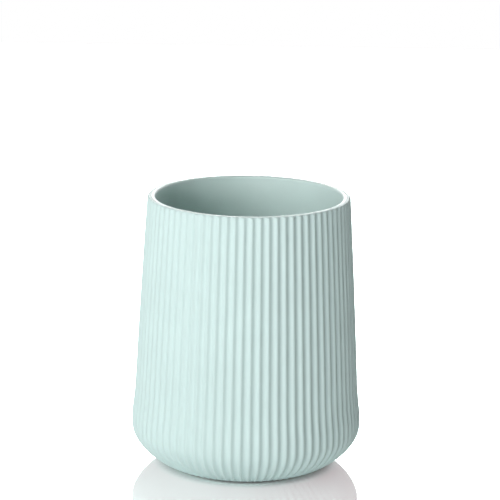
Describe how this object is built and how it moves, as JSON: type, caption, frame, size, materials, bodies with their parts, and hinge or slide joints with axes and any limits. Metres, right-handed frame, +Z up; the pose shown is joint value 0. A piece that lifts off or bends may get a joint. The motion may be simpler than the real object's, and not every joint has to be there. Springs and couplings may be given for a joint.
{
  "type": "toothbrush holder",
  "caption": "Open round tumbler for toothbrushes: a fluted outer shell with a rounded belly, a smooth inner cup, a snap-in base plate and rubber feet.",
  "frame": {"origin": "on the shelf, at the centre of the round foot", "axes": "+Z up along the axis of the cup; -Y faces the viewer, with a groove on it"},
  "size_m": [0.0944, 0.0944, 0.112],
  "materials": {
    "shell": "matte",
    "cup": "satin",
    "plate": "matte",
    "feet": "matte"
  },
  "bodies": {
    "root": {"ribbed_shell": "shell", "inner_cup": "cup", "base_plate": "plate", "rubber_feet": "feet"}
  },
  "joints": []
}
